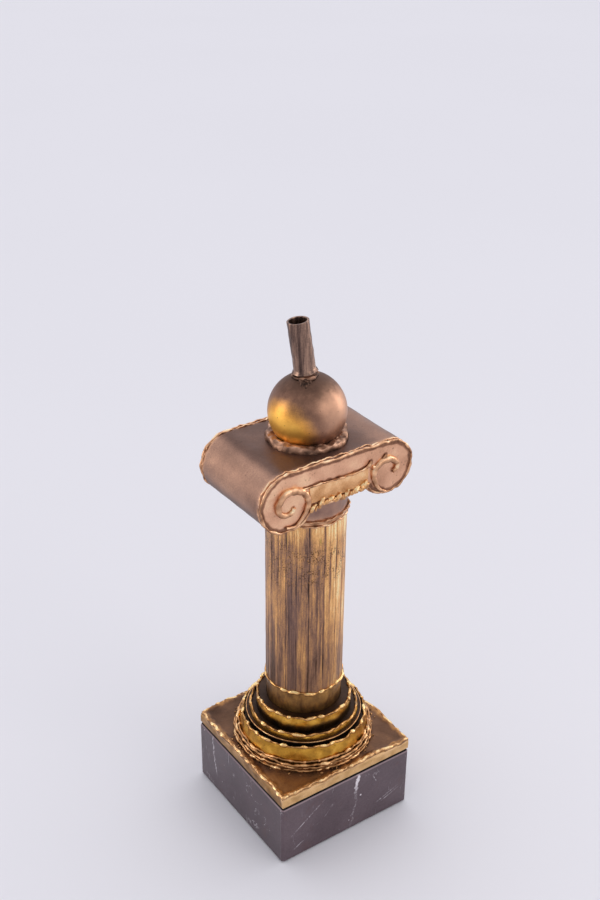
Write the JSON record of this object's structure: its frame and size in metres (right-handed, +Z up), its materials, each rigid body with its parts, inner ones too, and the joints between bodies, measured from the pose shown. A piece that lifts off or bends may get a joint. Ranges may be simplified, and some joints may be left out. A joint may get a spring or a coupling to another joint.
{
  "type": "display plinth",
  "caption": "Decorative display plinth: a fluted brass column with stepped bands and a scroll capital on a square stone block, topped by a ball with a leaning socket tube for a figure.",
  "frame": {"origin": "middle of the underside of the felt pad, on the surface that the plinth stands on", "axes": "+Z up along the column; -Y is the front, which one scrolled end of the capital faces; +X is to the right of it, along the capital's longer side"},
  "size_m": [0.1066, 0.1, 0.3425],
  "materials": {
    "brass": "patinated brown brass, satin",
    "melted_brass": "bright torch-melted brass bead, semi-gloss",
    "column_brass": "streaked gold and brown brass, satin",
    "ball_brass": "smooth gold-brown brass, satin",
    "marble": "polished dark stone with white veins",
    "felt": "black felt",
    "steel": "zinc-plated steel"
  },
  "bodies": {
    "root": {"back_bead_row": "melted_brass", "back_edge_bead": "melted_brass", "back_frieze": "brass", "back_frieze_line": "melted_brass", "back_plate": "brass", "back_scroll_left": "melted_brass", "back_scroll_right": "melted_brass", "ball": "ball_brass", "ball_collar": "ball_brass", "band_flange": "brass", "band_step_bead": "melted_brass", "column_pipe": "column_brass", "felt_pad": "felt", "figure_socket": "brass", "fixing_nut": "steel", "fixing_stud": "steel", "fixing_washer": "steel", "fluted_jacket": "column_brass", "foot_ring": "brass", "foot_ring_bead": "melted_brass", "front_bead_row": "melted_brass", "front_edge_bead": "melted_brass", "front_frieze": "brass", "front_frieze_line": "melted_brass", "front_plate": "brass", "front_scroll_left": "melted_brass", "front_scroll_right": "melted_brass", "jacket_foot_bead": "melted_brass", "lower_band": "brass", "lower_floor": "brass", "lower_rim_bead": "melted_brass", "marble_block": "marble", "middle_band": "brass", "middle_floor": "brass", "middle_rim_bead": "melted_brass", "neck_bead": "melted_brass", "neck_drum": "column_brass", "rolled_cover": "brass", "side_strip_back": "brass", "side_strip_front": "brass", "side_strip_left": "brass", "side_strip_right": "brass", "socket_bead_ring": "melted_brass", "soffit_sheet": "brass", "tray_boss": "brass", "tray_edge_bead": "melted_brass", "tray_sheet": "brass", "upper_band": "brass", "upper_floor": "brass", "upper_rim_bead": "melted_brass"}
  },
  "joints": []
}
